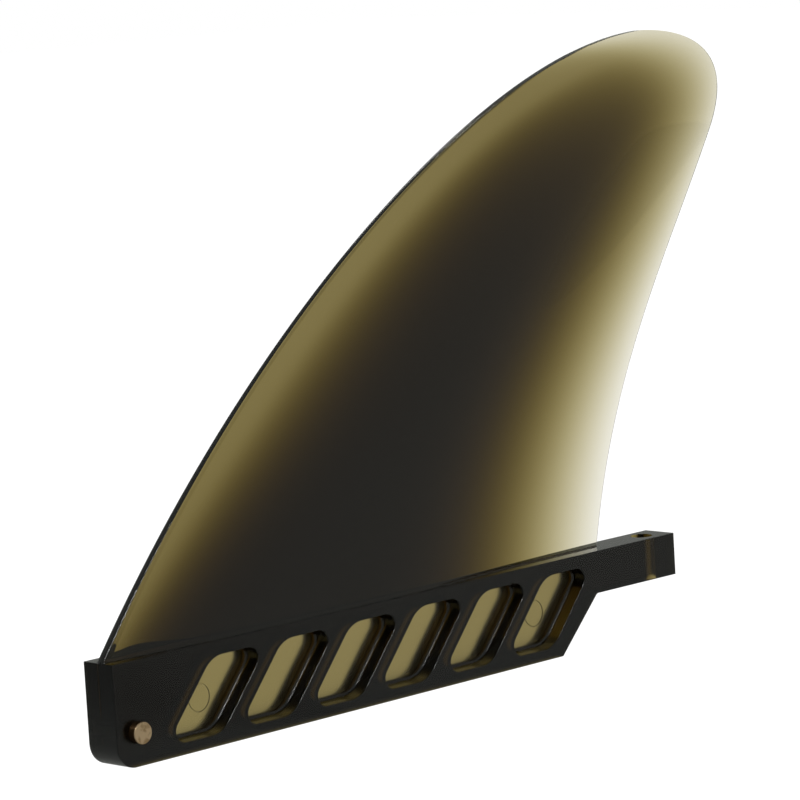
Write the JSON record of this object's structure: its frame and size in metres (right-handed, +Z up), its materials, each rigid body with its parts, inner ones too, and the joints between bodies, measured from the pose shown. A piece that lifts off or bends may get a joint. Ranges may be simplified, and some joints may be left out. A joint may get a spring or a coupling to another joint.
{
  "type": "surfboard fin",
  "caption": "Raked surfboard centre fin in smoked translucent plastic, with a pocketed tang, a screw tab and a brass cross pin.",
  "frame": {"origin": "middle of the tang's flat underside", "axes": "+X along the tang to the rear, towards the screw tab; +Z up the blade; Y across the thickness"},
  "size_m": [0.203, 0.013, 0.1398],
  "materials": {
    "smoked_plastic": "polished, smoked translucent",
    "brass": "cut ends, lightly worn"
  },
  "bodies": {
    "root": {"fin": "smoked_plastic", "cross_pin": "brass"}
  },
  "joints": []
}
